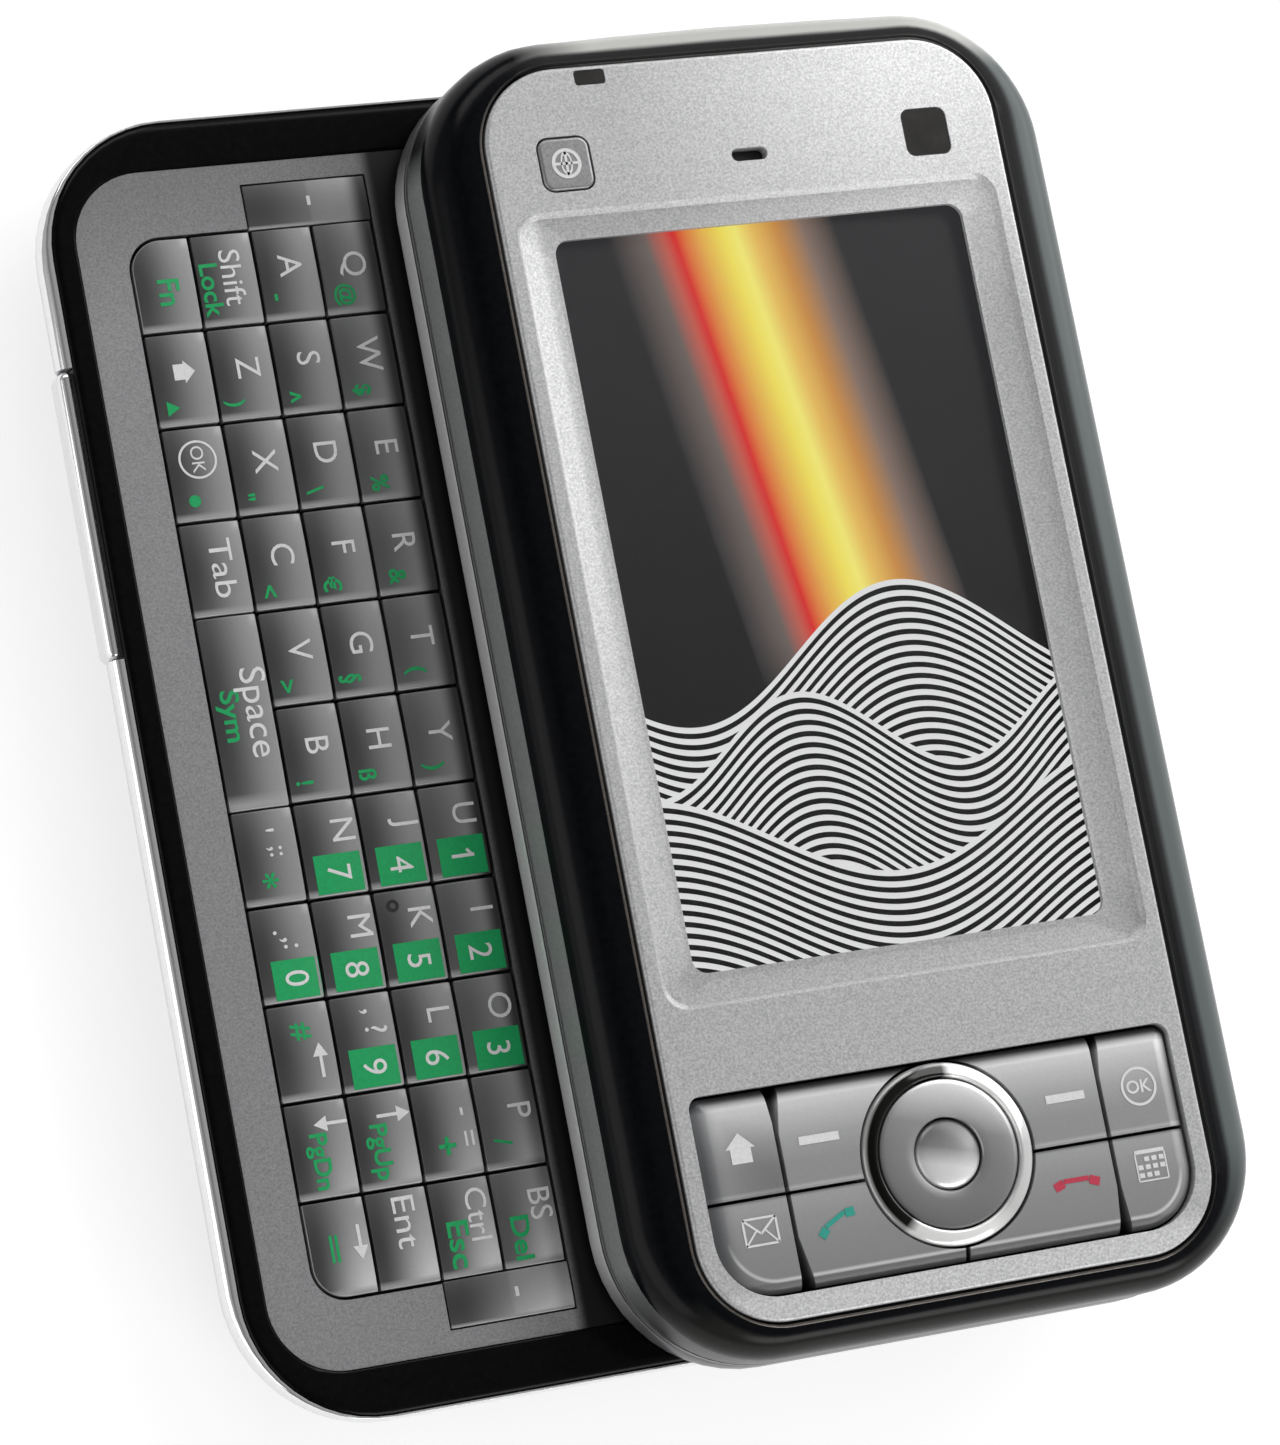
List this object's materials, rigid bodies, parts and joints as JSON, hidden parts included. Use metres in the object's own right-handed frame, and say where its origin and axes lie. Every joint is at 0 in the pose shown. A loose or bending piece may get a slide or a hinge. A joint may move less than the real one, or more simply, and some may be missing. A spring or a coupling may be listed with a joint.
{
  "type": "slider phone",
  "caption": "Touch-screen phone whose display half slides sideways off a full keyboard half, shown open, with front keys and a four-way navigation ring.",
  "frame": {"origin": "centre of the keyboard half's flat back, on the battery cover", "axes": "+X the way the display half slides open, +Y up the phone towards the earpiece, +Z from the back towards the screen"},
  "size_m": [0.0943, 0.119, 0.0218],
  "materials": {
    "housing_black": "high-gloss black",
    "rim_black": "gloss black",
    "back_black": "soft matt black",
    "tray_grey": "satin dark grey",
    "bright_band": "bright plated",
    "bezel_silver": "fine metallic silver",
    "panel_grey": "satin metallic grey",
    "keyboard_key_grey": "metallic grey with printed legends",
    "front_key_grey": "metallic grey with printed marks",
    "select_chrome": "polished metallic grey",
    "screen_glass": "dark glass with the lit screen behind it",
    "pane_dark": "dark tinted pane",
    "light_pipe": "smoked clear plastic",
    "screen_module": "display module",
    "board_green": "solder mask",
    "mat_rubber": "silicone rubber",
    "steel": "pressed stainless steel",
    "screw_steel": "blackened steel",
    "battery_can": "wrapped aluminium can",
    "module_black": "moulded module",
    "flex_amber": "polyimide film",
    "motor_steel": "drawn steel can",
    "contact_black": "moulded contact block"
  },
  "bodies": {
    "keyboard_half": {"rear_housing": "back_black", "battery": "battery_can", "battery_contacts": "contact_black", "base_screws": "screw_steel", "base_side_band": "bright_band", "base_rim": "rim_black", "keyboard_panel": "panel_grey", "keyboard_mat": "mat_rubber", "main_board": "board_green", "rear_camera": "module_black", "rear_camera_window": "pane_dark", "loudspeaker": "module_black", "vibration_motor": "motor_steel", "antenna": "module_black", "usb_socket": "steel", "flex_cable": "flex_amber", "slide_block": "steel"},
    "display_half": {"display_housing": "housing_black", "display_rear_tray": "tray_grey", "display_side_band": "bright_band", "slide_rails": "steel", "display_screws": "screw_steel", "front_bezel": "bezel_silver", "touch_window": "screen_glass", "lcd_module": "screen_module", "display_board": "board_green", "earpiece_speaker": "module_black", "front_camera": "module_black", "front_camera_window": "pane_dark", "indicator_light": "light_pipe", "front_keypad_mat": "mat_rubber", "navigation_trim_ring": "bright_band"},
    "battery_cover": {"battery_cover": "back_black"},
    "volume_rocker": {"volume_rocker": "bright_band"},
    "power_key": {"power_key": "bright_band"},
    "camera_key": {"camera_key": "bright_band"},
    "keyboard_keys_01": {"keyboard_keys_01": "keyboard_key_grey"},
    "keyboard_keys_02": {"keyboard_keys_02": "keyboard_key_grey"},
    "keyboard_keys_03": {"keyboard_keys_03": "keyboard_key_grey"},
    "keyboard_keys_04": {"keyboard_keys_04": "keyboard_key_grey"},
    "keyboard_keys_05": {"keyboard_keys_05": "keyboard_key_grey"},
    "keyboard_keys_06": {"keyboard_keys_06": "keyboard_key_grey"},
    "keyboard_keys_07": {"keyboard_keys_07": "keyboard_key_grey"},
    "keyboard_keys_08": {"keyboard_keys_08": "keyboard_key_grey"},
    "keyboard_keys_09": {"keyboard_keys_09": "keyboard_key_grey"},
    "keyboard_keys_10": {"keyboard_keys_10": "keyboard_key_grey"},
    "keyboard_keys_11": {"keyboard_keys_11": "keyboard_key_grey"},
    "web_key": {"web_key": "front_key_grey"},
    "navigation_rocker": {"navigation_rocker": "front_key_grey"},
    "navigation_pivot": {"navigation_pivot": "module_black"},
    "select_button": {"select_button": "select_chrome"},
    "start_key": {"start_key": "front_key_grey"},
    "left_soft_key": {"left_soft_key": "front_key_grey"},
    "right_soft_key": {"right_soft_key": "front_key_grey"},
    "ok_key": {"ok_key": "front_key_grey"},
    "mail_key": {"mail_key": "front_key_grey"},
    "call_key": {"call_key": "front_key_grey"},
    "end_key": {"end_key": "front_key_grey"},
    "calendar_key": {"calendar_key": "front_key_grey"}
  },
  "joints": [
    {"name": "display_slide", "type": "slide", "parent": "keyboard_half", "child": "display_half", "axis": [1, 0, 0], "range_m": [-0.0334, 0]},
    {"name": "battery_cover_slide", "type": "slide", "parent": "keyboard_half", "child": "battery_cover", "axis": [0, -1, 0], "range_m": [0, 0.014]},
    {"name": "volume_rocker_tilt", "type": "hinge", "parent": "keyboard_half", "child": "volume_rocker", "pos_m": [-0.0292, 0.0234, 0.008], "axis": [0, 0, 1], "range_deg": [-1, 1], "stiffness_Nm_per_rad": 0.2},
    {"name": "power_key_press", "type": "slide", "parent": "keyboard_half", "child": "power_key", "axis": [0, -1, 0], "range_m": [0, 0.00028], "stiffness_N_per_m": 300},
    {"name": "camera_key_press", "type": "slide", "parent": "keyboard_half", "child": "camera_key", "axis": [-1, 0, 0], "range_m": [0, 0.00028], "stiffness_N_per_m": 300},
    {"name": "keyboard_keys_01_press", "type": "slide", "parent": "keyboard_half", "child": "keyboard_keys_01", "axis": [0, 0, -1], "range_m": [0, 0.00028], "stiffness_N_per_m": 300},
    {"name": "keyboard_keys_02_press", "type": "slide", "parent": "keyboard_half", "child": "keyboard_keys_02", "axis": [0, 0, -1], "range_m": [0, 0.00028], "stiffness_N_per_m": 300},
    {"name": "keyboard_keys_03_press", "type": "slide", "parent": "keyboard_half", "child": "keyboard_keys_03", "axis": [0, 0, -1], "range_m": [0, 0.00028], "stiffness_N_per_m": 300},
    {"name": "keyboard_keys_04_press", "type": "slide", "parent": "keyboard_half", "child": "keyboard_keys_04", "axis": [0, 0, -1], "range_m": [0, 0.00028], "stiffness_N_per_m": 300},
    {"name": "keyboard_keys_05_press", "type": "slide", "parent": "keyboard_half", "child": "keyboard_keys_05", "axis": [0, 0, -1], "range_m": [0, 0.00028], "stiffness_N_per_m": 300},
    {"name": "keyboard_keys_06_press", "type": "slide", "parent": "keyboard_half", "child": "keyboard_keys_06", "axis": [0, 0, -1], "range_m": [0, 0.00028], "stiffness_N_per_m": 300},
    {"name": "keyboard_keys_07_press", "type": "slide", "parent": "keyboard_half", "child": "keyboard_keys_07", "axis": [0, 0, -1], "range_m": [0, 0.00028], "stiffness_N_per_m": 300},
    {"name": "keyboard_keys_08_press", "type": "slide", "parent": "keyboard_half", "child": "keyboard_keys_08", "axis": [0, 0, -1], "range_m": [0, 0.00028], "stiffness_N_per_m": 300},
    {"name": "keyboard_keys_09_press", "type": "slide", "parent": "keyboard_half", "child": "keyboard_keys_09", "axis": [0, 0, -1], "range_m": [0, 0.00028], "stiffness_N_per_m": 300},
    {"name": "keyboard_keys_10_press", "type": "slide", "parent": "keyboard_half", "child": "keyboard_keys_10", "axis": [0, 0, -1], "range_m": [0, 0.00028], "stiffness_N_per_m": 300},
    {"name": "keyboard_keys_11_press", "type": "slide", "parent": "keyboard_half", "child": "keyboard_keys_11", "axis": [0, 0, -1], "range_m": [0, 0.00028], "stiffness_N_per_m": 300},
    {"name": "web_key_press", "type": "slide", "parent": "display_half", "child": "web_key", "axis": [0, 0, -1], "range_m": [0, 0.00028], "stiffness_N_per_m": 300},
    {"name": "start_key_press", "type": "slide", "parent": "display_half", "child": "start_key", "axis": [0, 0, -1], "range_m": [0, 0.00028], "stiffness_N_per_m": 300},
    {"name": "left_soft_key_press", "type": "slide", "parent": "display_half", "child": "left_soft_key", "axis": [0, 0, -1], "range_m": [0, 0.00028], "stiffness_N_per_m": 300},
    {"name": "right_soft_key_press", "type": "slide", "parent": "display_half", "child": "right_soft_key", "axis": [0, 0, -1], "range_m": [0, 0.00028], "stiffness_N_per_m": 300},
    {"name": "ok_key_press", "type": "slide", "parent": "display_half", "child": "ok_key", "axis": [0, 0, -1], "range_m": [0, 0.00028], "stiffness_N_per_m": 300},
    {"name": "mail_key_press", "type": "slide", "parent": "display_half", "child": "mail_key", "axis": [0, 0, -1], "range_m": [0, 0.00028], "stiffness_N_per_m": 300},
    {"name": "call_key_press", "type": "slide", "parent": "display_half", "child": "call_key", "axis": [0, 0, -1], "range_m": [0, 0.00028], "stiffness_N_per_m": 300},
    {"name": "end_key_press", "type": "slide", "parent": "display_half", "child": "end_key", "axis": [0, 0, -1], "range_m": [0, 0.00028], "stiffness_N_per_m": 300},
    {"name": "calendar_key_press", "type": "slide", "parent": "display_half", "child": "calendar_key", "axis": [0, 0, -1], "range_m": [0, 0.00028], "stiffness_N_per_m": 300},
    {"name": "select_button_press", "type": "slide", "parent": "display_half", "child": "select_button", "axis": [0, 0, -1], "range_m": [0, 0.00028], "stiffness_N_per_m": 300},
    {"name": "navigation_tip_up_down", "type": "hinge", "parent": "display_half", "child": "navigation_pivot", "pos_m": [0.0334, -0.0446, 0.0189], "axis": [1, 0, 0], "range_deg": [-1.5, 1.5], "stiffness_Nm_per_rad": 0.02},
    {"name": "navigation_tip_left_right", "type": "hinge", "parent": "navigation_pivot", "child": "navigation_rocker", "pos_m": [0.0334, -0.0446, 0.0189], "axis": [0, 1, 0], "range_deg": [-1.5, 1.5], "stiffness_Nm_per_rad": 0.02}
  ]
}
